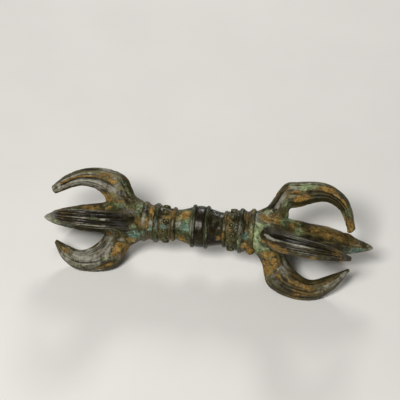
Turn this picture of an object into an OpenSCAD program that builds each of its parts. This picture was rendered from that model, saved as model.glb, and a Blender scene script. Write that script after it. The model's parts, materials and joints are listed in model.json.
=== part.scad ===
// A double-ended bronze ritual sceptre: a moulded grip threaded on a core rod, with a hub, four hooked
// claws and a spear-shaped centre prong at each end.
// X runs along the grip, Z is up, and the origin is the middle of the grip's belt, on its axis.
// Every pair of sizes is [left end, right end]: the piece was made by hand, and its right end is larger.
// The sceptre lies on the four lower claws, whose worn flats share one plane.

/* [Belt] */
// Length of the belt between its two rings
belt_len = 4.6; // [3:0.1:8]
// Radius of the belt
belt_r = 10.1; // [8:0.1:10.4]
// Width of each belt ring
belt_ring_w = 2; // [1:0.1:3]
// Radius of each belt ring
belt_ring_r = 10.6; // [9.5:0.1:12]

/* [Grip, left and right] */
// Length of the tapering waist collar
waist_len = [7.6, 7]; // [5:0.1:12]
// Radius of the waist collar beside the belt
waist_big_r = [9.3, 9.4]; // [8.8:0.1:9.5]
// Radius of the waist collar at its narrow end
waist_r = [7.3, 8]; // [6:0.1:8.5]
// Width of the ring at the narrow end of the waist
edge_ring_w = [2, 1.8]; // [1:0.1:3]
// Radius of the ring at the narrow end of the waist
edge_ring_r = [8.5, 9.1]; // [8:0.1:10]
// Length of the band that carries the bosses
band_len = [6, 5.6]; // [4.5:0.1:9]
// Radius of the band's floor beside the waist
band_small_r = [7.8, 8.7]; // [7:0.1:9]
// Radius of the band's floor at its outer end
band_big_r = [8.7, 9.9]; // [8:0.1:10.5]
// Width of the ring between the band and the neck
inner_ring_w = [2.8, 2.6]; // [1:0.1:4]
// Radius of the ring between the band and the neck
inner_ring_r = [9.7, 11]; // [9:0.1:12.5]
// Length of the hollow-sided neck
neck_len = [3, 2.8]; // [2:0.1:6]
// Radius of the neck at its ends
neck_r = [9.1, 10.5]; // [8.5:0.1:11]
// Depth of the hollow round the neck
neck_hollow = [0.7, 0.8]; // [0.2:0.1:1.2]
// Width of the ring against the hub
outer_ring_w = [2.8, 2.6]; // [1:0.1:4]
// Radius of the ring against the hub
outer_ring_r = [9.8, 11.3]; // [9:0.1:12.5]

/* [Bosses, left and right] */
// Number of bosses round the band
boss_count = [10, 12]; // [6:1:14]
// Radius of a boss
boss_r = [1.7, 1.8]; // [1:0.1:2]
// Height of a boss's rim over the band's floor
boss_rise = [1.1, 1]; // [0.5:0.1:1.5]
// Thickness of a boss's rim
boss_rim = [0.85, 0.9]; // [0.4:0.05:0.9]
// Radius of the pearl inside a boss's rim
pearl_r = [0.68, 0.72]; // [0.4:0.02:0.8]

/* [Core] */
// Radius of the rod that the grip is threaded on
rod_r = 3; // [2:0.1:3.5]
// Depth of the rod in each hub
rod_depth = 8; // [5:0.1:9]
// Radius of the pin that locks each hub to the rod
pin_r = 0.8; // [0.5:0.1:1.1]
// Distance of the pin from the hub's inner face
pin_set = 2.6; // [1.4:0.1:4]
// Roll of the pins about the grip, from straight up towards the front, between two claws
pin_turn = 1; // [-3:1:4]
// Radial gap between a piece and the bore that it sits in
fit_gap = 0.05; // [0.01:0.01:0.1]
// Gap left past the end of a piece in its socket
end_gap = 0.3; // [0.1:0.1:1]

/* [Hubs and prongs, left and right] */
// Length of the hub
hub_len = [18.2, 15.2]; // [14:0.1:22]
// Radius of the hub at its inner face
hub_big_r = [8.9, 10]; // [8.5:0.1:11]
// Radius of the hub at its outer face
hub_small_r = [7.6, 8.2]; // [7.2:0.1:9]
// Distance from the hub's outer face to the prong's tip
prong_len = [31.3, 42.3]; // [25:0.1:50]
// Half the width of the prong across its ridges, at its base
prong_r = [7.3, 7.8]; // [6:0.1:8.5]
// Sideways drift of the prong's tip
prong_drift = [2.6, 2.4]; // [0:0.1:4]
// Roll of that drift about the grip, from straight up towards the front
prong_turn = 134; // [90:1:180]

/* [Claws, left and right] */
// Size of the claws against their drawn side views
claw_size = [1, 1]; // [0.95:0.01:1.1]
// Roll of the upper claw about the grip, from straight up towards the front
upper_turn = [-45, -45]; // [-48:0.5:-42]
// Roll of the front claw
front_turn = [46, 48]; // [44:0.5:50]
// Roll of the lower claw from straight down towards the front, which the back claw mirrors
lower_turn = [41.5, 48.5]; // [39:0.5:50]
// Width across a claw at its thickest
claw_w = [9.4, 10]; // [7:0.1:11]
// Depth of the flutes along a claw
flute = [0.55, 0.6]; // [0:0.05:0.9]
// Radius of the tenon under a claw
tenon_r = 2.2; // [1.5:0.1:2.6]
// Depth of the tenon in the hub
tenon_depth = 4; // [2:0.1:4.5]
// Distance of a claw's root from the hub's inner face
root_set = 0.4; // [0.3:0.1:1]
// Sideways sway of the front claw's tip
front_sway = [0, -7]; // [-8:0.1:0]
// Height of the axis over the surface that the sceptre lies on
rest_height = 21.1; // [20.7:0.1:21.4]

/* [Hidden] */
$fn = 96;

LEFT = 0;
RIGHT = 1;
BRONZE = "#6b6240";
DARK_BRONZE = "#3b3a2c";
VERDIGRIS = "#7f9c7c";
OCHRE = "#a07a44";

// Rows of a claw's side view, from the flare at its foot to its tip: out and height of the outer edge,
// then of the inner edge. Out is counted from the hub's outer face, and height from the axis.
LEFT_HIGH = [
    [-16.2, 9.8, -0.8, 7.9], [-12.9, 13, 0.9, 9.2], [-8.2, 20.6, 2.7, 11.3], [0.5, 23.9, 7.6, 13.8],
    [13, 23.2, 14, 14.4], [22.7, 18.7, 20.4, 12.3], [28.2, 13.2, 26, 9.7]
];
LEFT_LOW = [
    [-16, 10.4, -0.8, 7.9], [-12.4, 13.6, 0.5, 9.3], [-6.5, 23.4, 3, 12.3], [1.5, 26.8, 7.2, 15.8],
    [11.7, 27.2, 12.2, 17.3], [20, 22.9, 17.5, 15.8], [24.4, 15.8, 23.2, 13.6]
];
RIGHT_HIGH = [
    [-12.6, 10.9, -0.8, 8.5], [-9.2, 14.3, 0.1, 9.8], [-3.2, 24.2, 0.9, 12.9], [3.6, 26.2, 5.6, 14.3],
    [18, 26.5, 17, 17.6], [28.5, 19.6, 25.2, 13.8], [33, 6.6, 29.7, 4.9]
];
RIGHT_LOW = [
    [-12.2, 11.9, -0.8, 8.5], [-9.7, 16, 0.6, 10], [-6.7, 24.8, 2.9, 13.2], [2, 29.5, 7.6, 17.9],
    [15, 30.2, 14, 20.5], [25, 24.5, 22.5, 17.5], [31.8, 14.9, 30.3, 13.9]
];
// Share of the claw's width at its root and at each row
WIDTH_SHARE = [1.04, 1.02, 0.98, 1, 1, 0.9, 0.66, 0.26];
// Share of the flutes' depth at its root and at each row
FLUTE_SHARE = [0, 0, 0.3, 1, 1, 1, 0.6, 0];
// Each claw: its end, its roll about the grip, the sideways sway of its tip, its side view and its colour
CLAWS = [
    [LEFT, upper_turn[LEFT], 0, LEFT_HIGH, BRONZE],
    [LEFT, front_turn[LEFT], front_sway[LEFT], LEFT_LOW, DARK_BRONZE],
    [LEFT, 180 - lower_turn[LEFT], 0, LEFT_LOW, BRONZE],
    [LEFT, 180 + lower_turn[LEFT], 0, LEFT_LOW, BRONZE],
    [RIGHT, upper_turn[RIGHT], 0, RIGHT_HIGH, OCHRE],
    [RIGHT, front_turn[RIGHT], front_sway[RIGHT], RIGHT_LOW, DARK_BRONZE],
    [RIGHT, 180 - lower_turn[RIGHT], 0, RIGHT_LOW, OCHRE],
    [RIGHT, 180 + lower_turn[RIGHT], 0, RIGHT_LOW, BRONZE]
];
// Depth of a claw's root section under the hub's surface, and its distance from the hub's outer face
ROOT_DEPTH = 1.6;
ROOT_INSET = 1.6;
// Angles round a claw's section, from its outer edge, at which the flutes run, and half their width
FLUTE_ANGLES = [22.5, 90];
FLUTE_HALF = 15;
CLAW_SIDES = 16;
CLAW_STEPS = 4;
NOSE_LEN = 1.1;
PRONG_SIDES = 24;
PRONG_STEPS = 14;
// Squareness of the prong's section: 1 is a diamond and 2 a circle
PRONG_POWER = 1.45;
WAIST_STEPS = 8;
// Hollowness of the waist's outline: 1 is a straight cone
WAIST_CURVE = 1.5;
// Angles of the rings that round off a claw's tip
NOSE_ANGLES = [35, 65];
// Length by which a cut or a joined shape runs past the face that it meets
OVERRUN = 1;

// Stations along the grip, from its middle to the hub's outer face
belt_end = belt_len / 2;
waist_start = belt_end + belt_ring_w;
function waist_end(e) = waist_start + waist_len[e];
function band_start(e) = waist_end(e) + edge_ring_w[e];
function band_end(e) = band_start(e) + band_len[e];
function neck_start(e) = band_end(e) + inner_ring_w[e];
function neck_end(e) = neck_start(e) + neck_len[e];
function hub_start(e) = neck_end(e) + outer_ring_w[e];
function hub_end(e) = hub_start(e) + hub_len[e];
function tip(e) = hub_end(e) + prong_len[e];
full_len = tip(LEFT) + tip(RIGHT);
bore_r = rod_r + fit_gap;
socket_r = tenon_r + fit_gap;
function root_mid(e) = hub_start(e) + hub_len[e] / 2;
function root_height(e) = hub_small_r[e] - ROOT_DEPTH;
function hub_r_at(e, x) = hub_big_r[e] + (hub_small_r[e] - hub_big_r[e]) * (x - hub_start(e)) / hub_len[e];
function tenon_foot(e) = hub_r_at(e, root_mid(e)) - tenon_depth;

// A smooth curve through points of any size, with t from 0 at the first to 1 at the last
function span_of(points, t) = min(floor(t * (len(points) - 1)), len(points) - 2);
function beyond(points, i) =
    i < 0 ? 2 * points[0] - points[1]
    : i >= len(points) ? 2 * points[len(points) - 1] - points[len(points) - 2]
    : points[i];
function blend4(p0, p1, p2, p3, u) =
    0.5 * (2 * p1 + (p2 - p0) * u + (2 * p0 - 5 * p1 + 4 * p2 - p3) * u * u
    + (3 * p1 - p0 - 3 * p2 + p3) * u * u * u);
function along(points, t) =
    let (i = span_of(points, t), u = t * (len(points) - 1) - i)
    blend4(beyond(points, i - 1), points[i], points[i + 1], beyond(points, i + 2), u);

// A closed solid from rings of points, each ring with the same number, closed by a flat face and a point
module loft(rings, apex) {
    n = len(rings[0]);
    m = len(rings);
    points = [for (ring = rings) each ring, apex];
    sides = [
        for (i = [0:m - 2], j = [0:n - 1])
        let (a = i * n + j, b = i * n + (j + 1) % n)
        each [[a, b, a + n], [b, b + n, a + n]]
    ];
    base = [for (j = [1:n - 2]) [0, j + 1, j]];
    cap = [for (j = [0:n - 1]) [(m - 1) * n + j, (m - 1) * n + (j + 1) % n, m * n]];
    polyhedron(points, concat(sides, base, cap), convexity = 6);
}

// Turns a shape made about Z onto the X axis
module on_axis(x = 0) {
    translate([x, 0, 0]) rotate([0, 90, 0]) children();
}

// The left end is the mirror image of one that points along +X
module at_end(e) {
    mirror([e == LEFT ? 1 : 0, 0, 0]) children();
}

module ring(x, w, r, bore = bore_r) {
    on_axis(x) rotate_extrude() difference() {
        union() {
            square([r - w / 2, w]);
            translate([r - w / 2, w / 2]) circle(d = w);
        }
        square([bore, w]);
    }
}

module core_rod() {
    color(DARK_BRONZE) difference() {
        on_axis(-hub_start(LEFT) - rod_depth)
            cylinder(r = rod_r, h = hub_start(LEFT) + hub_start(RIGHT) + 2 * rod_depth);
        for (e = [LEFT, RIGHT]) pin_shape(e, pin_r + fit_gap, hub_big_r[e]);
    }
}

module belt() {
    color(DARK_BRONZE) on_axis(-belt_end) difference() {
        cylinder(r = belt_r, h = belt_len);
        cylinder(r = bore_r, h = belt_len);
    }
}

module belt_ring(e) {
    color(VERDIGRIS) at_end(e) ring(belt_end, belt_ring_w, belt_ring_r);
}

module waist(e) {
    fall = waist_big_r[e] - waist_r[e];
    outline = [
        for (i = [0:WAIST_STEPS])
        let (t = i / WAIST_STEPS)
        [waist_r[e] + fall * pow(1 - t, WAIST_CURVE), t * waist_len[e]]
    ];
    color(e == LEFT ? VERDIGRIS : DARK_BRONZE) at_end(e) on_axis(waist_start)
        rotate_extrude() polygon(concat([[bore_r, 0]], outline, [[bore_r, waist_len[e]]]));
}

module edge_ring(e) {
    color(OCHRE) at_end(e) ring(waist_end(e), edge_ring_w[e], edge_ring_r[e]);
}

module band_floor(e) {
    on_axis(band_start(e)) cylinder(r1 = band_small_r[e], r2 = band_big_r[e], h = band_len[e]);
}

module band(e) {
    color(BRONZE) at_end(e) difference() {
        band_floor(e);
        on_axis(band_start(e)) cylinder(r = bore_r, h = band_len[e]);
    }
}

// An eye-shaped boss that stands on Z, with a rounded rim and a pearl on its flat top
module boss(e, flat_z) {
    rim_r = boss_rim[e] / 2;
    rotate_extrude() {
        square([boss_r[e], flat_z]);
        translate([boss_r[e] - rim_r, flat_z]) circle(r = rim_r);
        intersection() {
            translate([0, flat_z]) circle(r = pearl_r[e]);
            square([boss_r[e], 2 * flat_z]);
        }
    }
}

// The bosses stand on the band's floor, so each starts under it and is cut to it
module bosses(e) {
    middle = (band_start(e) + band_end(e)) / 2;
    floor_r = (band_small_r[e] + band_big_r[e]) / 2;
    flat_r = floor_r + boss_rise[e] - boss_rim[e] / 2;
    color(OCHRE) at_end(e) for (i = [0:boss_count[e] - 1])
        difference() {
            rotate([i * 360 / boss_count[e], 0, 0]) translate([middle, 0, floor_r - boss_r[e]])
                boss(e, flat_r - floor_r + boss_r[e]);
            band_floor(e);
        }
}

module inner_ring(e) {
    color(VERDIGRIS) at_end(e) ring(band_end(e), inner_ring_w[e], inner_ring_r[e]);
}

module neck(e) {
    hollow_r = (pow(neck_len[e] / 2, 2) + pow(neck_hollow[e], 2)) / (2 * neck_hollow[e]);
    color(OCHRE) at_end(e) on_axis(neck_start(e)) rotate_extrude() difference() {
        translate([bore_r, 0]) square([neck_r[e] - bore_r, neck_len[e]]);
        translate([neck_r[e] - neck_hollow[e] + hollow_r, neck_len[e] / 2]) circle(r = hollow_r);
    }
}

module outer_ring(e) {
    color(BRONZE) at_end(e) ring(neck_end(e), outer_ring_w[e], outer_ring_r[e]);
}

// A pin across the grip beside the hub's inner face, from surface to surface
module pin_shape(e, r, half_len) {
    at_end(e) translate([hub_start(e) + pin_set, 0, 0]) rotate([pin_turn, 0, 0])
        cylinder(r = r, h = 2 * half_len, center = true);
}

module cross_pin(e) {
    color(OCHRE) pin_shape(e, pin_r, hub_r_at(e, hub_start(e) + pin_set));
}

module hub_body(e) {
    on_axis(hub_start(e)) cylinder(r1 = hub_big_r[e], r2 = hub_small_r[e], h = hub_len[e]);
}

module hub(e) {
    color(VERDIGRIS) difference() {
        at_end(e) difference() {
            hub_body(e);
            on_axis(hub_start(e)) cylinder(r = bore_r, h = hub_len[e]);
            for (c = CLAWS) if (c[0] == e) rotate([c[1], 0, 0])
                translate([root_mid(e), 0, tenon_foot(e) - end_gap])
                    cylinder(r = socket_r, h = hub_big_r[e]);
        }
        pin_shape(e, pin_r + fit_gap, hub_big_r[e] + OVERRUN);
    }
}

// Radius of the prong at q, the share of its length from base to tip: a blend of a round and a sharp nose
function prong_at(e, q) = prong_r[e] * (sqrt(1 - q * q) + 1 - q * q) / 2;
function power(v, p) = sign(v) * pow(abs(v), 2 / p);
function prong_ring(e, q) =
    let (r = prong_at(e, q))
    [
        for (j = [0:PRONG_SIDES - 1])
        let (a = 360 * j / PRONG_SIDES)
        [hub_end(e) + q * prong_len[e],
            r * power(sin(a), PRONG_POWER),
            r * power(cos(a), PRONG_POWER) + q * prong_drift[e]]
    ];

// The ridges lie in the planes of the claws
module centre_prong(e) {
    tang_len = hub_len[e] - rod_depth - end_gap;
    shares = [for (i = [0:PRONG_STEPS - 1]) sin(90 * i / PRONG_STEPS)];
    color(e == LEFT ? BRONZE : VERDIGRIS) at_end(e) {
        rotate([prong_turn, 0, 0])
            loft([for (q = shares) prong_ring(e, q)], [tip(e), 0, prong_drift[e]]);
        on_axis(hub_end(e) - tang_len) cylinder(r = rod_r, h = tang_len + OVERRUN);
    }
}

// The rows of a claw from its root section inside the hub to its tip, as [out, height, out, height]
function claw_rows(e, rows) =
    concat([[hub_start(e) + root_set, root_height(e), hub_end(e) - ROOT_INSET, root_height(e)]],
        [for (r = rows) claw_size[e] * r + [hub_end(e), 0, hub_end(e), 0]]);
function flute_at(a) = max([for (f = FLUTE_ANGLES) max(0, 1 - abs(abs(a) - f) / FLUTE_HALF)]);
function section(centre, way, half_d, half_w, cut, sway) =
    [
        for (j = [0:CLAW_SIDES - 1])
        let (a = 360 * j / CLAW_SIDES, groove = cut * flute_at(a > 180 ? a - 360 : a))
        let (d = (half_d - groove) * cos(a), w = (half_w - groove) * sin(a))
        [centre[0] + way[0] * d, sway + w, centre[1] + way[1] * d]
    ];
// One ring of a claw at t, shrunk to a share of its size and pushed on past its tip for the nose
function claw_ring(e, rows, sway, t, size = 1, push = 0) =
    let (row = along(rows, t), step = along(rows, 1) - along(rows, 0.98))
    let (nose = [step[0] + step[2], step[1] + step[3]], across = [row[0] - row[2], row[1] - row[3]])
    let (centre = [row[0] + row[2], row[1] + row[3]] / 2 + push * nose / norm(nose))
    section(centre, across / norm(across), size * norm(across) / 2,
        size * along(WIDTH_SHARE, t) * claw_w[e] / 2, along(FLUTE_SHARE, t) * flute[e], sway * t * t);

module claw_body(e, rows, sway) {
    steps = CLAW_STEPS * (len(rows) - 1);
    body = [for (i = [0:steps]) claw_ring(e, rows, sway, i / steps)];
    nose = [for (a = NOSE_ANGLES) claw_ring(e, rows, sway, 1, cos(a), NOSE_LEN * sin(a))];
    loft(concat(body, nose), claw_ring(e, rows, sway, 1, 0, NOSE_LEN)[0]);
}

module claw(c) {
    e = c[0];
    color(c[4]) at_end(e) difference() {
        union() {
            difference() {
                rotate([c[1], 0, 0]) claw_body(e, claw_rows(e, c[3]), c[2]);
                hub_body(e);
            }
            rotate([c[1], 0, 0]) translate([root_mid(e), 0, tenon_foot(e)])
                cylinder(r = tenon_r, h = tenon_depth + OVERRUN);
        }
        translate([0, 0, -rest_height - full_len / 2])
            cube([2 * full_len, full_len, full_len], center = true);
    }
}

core_rod();
belt();
belt_ring(LEFT);  // belt_ring_left
belt_ring(RIGHT);  // belt_ring_right
waist(LEFT);  // waist_left
waist(RIGHT);  // waist_right
edge_ring(LEFT);  // edge_ring_left
edge_ring(RIGHT);  // edge_ring_right
band(LEFT);  // band_left
band(RIGHT);  // band_right
bosses(LEFT);  // bosses_left
bosses(RIGHT);  // bosses_right
inner_ring(LEFT);  // inner_ring_left
inner_ring(RIGHT);  // inner_ring_right
neck(LEFT);  // neck_left
neck(RIGHT);  // neck_right
outer_ring(LEFT);  // outer_ring_left
outer_ring(RIGHT);  // outer_ring_right
hub(LEFT);  // hub_left
hub(RIGHT);  // hub_right
cross_pin(LEFT);  // cross_pin_left
cross_pin(RIGHT);  // cross_pin_right
centre_prong(LEFT);  // centre_prong_left
centre_prong(RIGHT);  // centre_prong_right
claw(CLAWS[0]);  // claw_left_upper
claw(CLAWS[1]);  // claw_left_front
claw(CLAWS[2]);  // claw_left_lower
claw(CLAWS[3]);  // claw_left_back
claw(CLAWS[4]);  // claw_right_upper
claw(CLAWS[5]);  // claw_right_front
claw(CLAWS[6]);  // claw_right_lower
claw(CLAWS[7]);  // claw_right_back
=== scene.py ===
# The looks of an old bronze sceptre: lumpy cast metal under olive brown, verdigris, pale minerals and ochre
# soil, dark and polished where hands have worn it, with a few pale lines and light worn spots on the claws
# that are painted highlights and glints. Shapes are worked out in mm in the part's own frame. Each end is
# built pointing along +X, and the left one is mirrored when it is done.
import json
from math import cos, pi, radians, sin

import bpy
import numpy as np
from mathutils import Matrix, Vector
from mathutils.bvhtree import BVHTree


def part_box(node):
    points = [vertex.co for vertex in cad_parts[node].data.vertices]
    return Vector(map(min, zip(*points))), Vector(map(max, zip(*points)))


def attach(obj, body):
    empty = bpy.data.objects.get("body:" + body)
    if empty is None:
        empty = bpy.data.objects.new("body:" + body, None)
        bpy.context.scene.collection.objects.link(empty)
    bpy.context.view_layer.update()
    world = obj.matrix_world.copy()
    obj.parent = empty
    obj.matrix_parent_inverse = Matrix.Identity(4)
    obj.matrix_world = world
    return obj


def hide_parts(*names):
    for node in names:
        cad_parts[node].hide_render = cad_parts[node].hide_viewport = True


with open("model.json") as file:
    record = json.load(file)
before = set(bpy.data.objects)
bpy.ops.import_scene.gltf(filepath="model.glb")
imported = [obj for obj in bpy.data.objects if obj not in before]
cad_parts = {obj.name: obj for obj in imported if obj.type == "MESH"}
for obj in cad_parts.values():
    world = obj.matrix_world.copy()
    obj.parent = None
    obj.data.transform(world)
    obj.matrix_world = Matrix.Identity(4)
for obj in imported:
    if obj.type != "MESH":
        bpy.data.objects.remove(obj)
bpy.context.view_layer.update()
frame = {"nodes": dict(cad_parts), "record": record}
scene = bpy.context.scene

MM = 0.001
LEFT, RIGHT = 0, 1
SIDES = ("left", "right")
SLOT_OF = {part["node"]: part["material_slot"] for part in frame["record"]["subparts"]}
# Height of the surface that the part lies on, in mm
REST_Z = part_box("claw_left_lower")[0].z / MM
# Nodes inside the part, which keep their solids
HIDDEN_NODES = ("core_rod", "cross_pin_left", "cross_pin_right")

# Camera: turn round the part and height over the horizon in degrees, lens, sensor and distance in mm, the
# picture's side in pixels, and the pixel where the middle of the grip lands
CAMERA_TURN = 7.5
CAMERA_RISE = 46
LENS = 110
SENSOR = 36
CAMERA_DISTANCE = 598
PICTURE = 400
MIDDLE_PIXEL = (200.5, 226.7)

# Sizes that the frame's boxes don't give, in mm, as (left end, right end) where the ends differ
BORE_R = 3.05
WAIST_R = (7.3, 8)
BAND_SMALL_R = (7.8, 8.7)
BAND_BIG_R = (8.7, 9.9)
NECK_HOLLOW = (0.7, 0.8)
HUB_SMALL_R = (7.6, 8.2)
BOSS_R = (1.7, 1.8)
BOSS_RISE = (1.1, 1)
BOSS_RIM = (0.85, 0.9)
PEARL_R = (0.68, 0.72)
PRONG_R = (7.3, 7.8)
PRONG_DRIFT = (2.6, 2.4)
CLAW_W = (9.4, 10)
ROOT_SET = 0.4
ROOT_INSET = 1.6
ROOT_DEPTH = 1.6
NOSE_LEN = 1.1
# Power of the waist's curve, turn of the prongs' edges in degrees, and power of their four-edged section
WAIST_CURVE = 1.5
PRONG_TURN = 134
PRONG_POWER = 1.3

# Side views of the claws, from foot to tip: out from the hub's outer face and height over the axis, of the
# outer edge and then of the inner edge
LEFT_HIGH = [
    [-16.2, 9.8, -0.8, 7.9], [-12.9, 13, 0.9, 9.2], [-8.2, 20.6, 2.7, 11.3], [0.5, 23.9, 7.6, 13.8],
    [13, 23.2, 14, 14.4], [22.7, 18.7, 20.4, 12.3], [28.2, 13.2, 26, 9.7],
]
LEFT_LOW = [
    [-16, 10.4, -0.8, 7.9], [-12.4, 13.6, 0.5, 9.3], [-6.5, 23.4, 3, 12.3], [1.5, 26.8, 7.2, 15.8],
    [11.7, 27.2, 12.2, 17.3], [20, 22.9, 17.5, 15.8], [24.4, 15.8, 23.2, 13.6],
]
RIGHT_HIGH = [
    [-12.6, 10.9, -0.8, 8.5], [-9.2, 14.3, 0.1, 9.8], [-3.2, 24.2, 0.9, 12.9], [3.6, 26.2, 5.6, 14.3],
    [18, 26.5, 17, 17.6], [28.5, 19.6, 25.2, 13.8], [33, 6.6, 29.7, 4.9],
]
RIGHT_LOW = [
    [-12.2, 11.9, -0.8, 8.5], [-9.7, 16, 0.6, 10], [-6.7, 24.8, 2.9, 13.2], [2, 29.5, 7.6, 17.9],
    [15, 30.2, 14, 20.5], [25, 24.5, 22.5, 17.5], [31.8, 14.9, 30.3, 13.9],
]
# Width of a claw at its root and at each row of its side view, as shares of its greatest width
WIDTH_SHARE = np.array([[1.04], [1.02], [0.98], [1], [1], [0.9], [0.66], [0.26]])
# Grooves along a claw: angle from its outer edge and half width in degrees, depth in mm, and start and stop
# as shares of the claw's length
BACK_GROOVES = [
    (90, 7, 0.5, 0.36, 0.93), (-90, 7, 0.5, 0.36, 0.93), (28, 6, 0.4, 0.36, 0.88),
    (-28, 6, 0.4, 0.36, 0.88), (-125, 5, 0.25, 0.3, 0.6), (125, 5, 0.25, 0.3, 0.6),
]
# Each claw: its end, roll from straight up towards the front, sway of its tip, side view and grooves
CLAWS = {
    "claw_left_upper": (LEFT, -45, 0, LEFT_HIGH, [
        (-96, 7, 0.6, 0.36, 0.95), (-30, 6, 0.3, 0.42, 0.8), (96, 7, 0.5, 0.36, 0.93),
        (30, 6, 0.3, 0.42, 0.8), (-126, 6, 0.2, 0.5, 0.75), (-72, 5, 0.2, 0.55, 0.8),
    ]),
    "claw_left_front": (LEFT, 46, 0, LEFT_LOW, [
        (22, 6, 0.7, 0.28, 0.93), (-8, 5, 0.55, 0.34, 0.9), (-30, 6, 0.65, 0.28, 0.93),
        (48, 6, 0.5, 0.3, 0.9), (-56, 6, 0.5, 0.3, 0.9), (105, 7, 0.4, 0.35, 0.9), (-105, 7, 0.4, 0.35, 0.9),
    ]),
    "claw_left_lower": (LEFT, 138.5, 0, LEFT_LOW, [
        (150, 5, 0.35, 0.28, 0.6), (135, 5, 0.35, 0.28, 0.62), (120, 5, 0.25, 0.25, 0.5),
        (80, 6, 0.2, 0.4, 0.85), (30, 6, 0.3, 0.4, 0.8), (-90, 7, 0.5, 0.36, 0.93), (-30, 6, 0.3, 0.4, 0.8),
    ]),
    "claw_left_back": (LEFT, -138.5, 0, LEFT_LOW, BACK_GROOVES),
    "claw_right_upper": (RIGHT, -45, 0, RIGHT_HIGH, [
        (-88, 6, 0.45, 0.42, 0.96), (-112, 6, 0.45, 0.58, 0.96), (-34, 6, 0.35, 0.42, 0.8),
        (90, 7, 0.5, 0.42, 0.94), (34, 6, 0.35, 0.42, 0.8), (-66, 5, 0.2, 0.4, 0.6),
    ]),
    "claw_right_front": (RIGHT, 48, -7, RIGHT_LOW, [
        (30, 6, 0.6, 0.28, 0.93), (-4, 5, 0.6, 0.34, 0.95), (-34, 6, 0.4, 0.5, 0.95), (60, 6, 0.5, 0.3, 0.9),
        (105, 7, 0.4, 0.35, 0.9), (-105, 7, 0.4, 0.35, 0.9),
    ]),
    "claw_right_lower": (RIGHT, 131.5, 0, RIGHT_LOW, [
        (78, 5, 0.4, 0.38, 0.8), (92, 5, 0.35, 0.4, 0.7), (64, 5, 0.3, 0.42, 0.72),
        (125, 6, 0.3, 0.45, 0.93), (30, 6, 0.3, 0.4, 0.8), (-90, 7, 0.5, 0.36, 0.93),
        (-30, 6, 0.3, 0.4, 0.8),
    ]),
    "claw_right_back": (RIGHT, -131.5, 0, RIGHT_LOW, BACK_GROOVES),
}

# The kinds of patina that a point can carry, and those that hide the metal
KINDS = ("green", "teal", "soil", "pale", "dark", "groove", "wear", "streak")
COVERS = KINDS[:5]


# Noise

# Numbers that scatter the values of neighbouring cells
CELL_FACTORS = (73856093, 19349663, 83492791)
SEED_FACTOR = 2654435761
MIX_FACTORS = (1274126177, 2246822519)
WORD = 0xFFFFFFFF
HALF_WORD = 0xFFFF
# Shift that keeps the cells' numbers above 0
NOISE_START = 1000


def lattice(cell, seed):
    """A fixed value from 0 to 1 for each whole-numbered cell."""
    x, y, z = (cell * CELL_FACTORS).T
    mixed = x ^ y ^ z ^ seed * SEED_FACTOR
    mixed = (mixed ^ (mixed >> 13)) * MIX_FACTORS[0] & WORD
    mixed = (mixed ^ (mixed >> 15)) * MIX_FACTORS[1] & WORD
    return ((mixed ^ (mixed >> 16)) & HALF_WORD) / HALF_WORD


def noise(points, size, seed, octaves=1):
    """Smooth noise from 0 to 1 with lumps of about that size in mm, each octave half as large."""
    total = np.zeros(len(points))
    weight = 0
    for octave in range(octaves):
        place = points / size * 2 ** octave + NOISE_START
        cell = np.floor(place).astype(np.int64)
        inside = smooth(0, 1, place - cell)
        value = np.zeros(len(points))
        for corner in np.ndindex(2, 2, 2):
            share = np.prod(np.where(np.array(corner) == 1, inside, 1 - inside), axis=1)
            value += share * lattice(cell + corner, seed + octave)
        total += value * 0.5 ** octave
        weight += 0.5 ** octave
    return total / weight


def smooth(low, high, value):
    """0 below low, 1 above high and a soft step between them."""
    s = np.clip((value - low) / (high - low), 0, 1)
    return s * s * (3 - 2 * s)


# Forms

# The least that is divided by: a length, and the square of one, in mm
LEAST_LENGTH = 1e-9
LEAST_SQUARE = 1e-6


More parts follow.
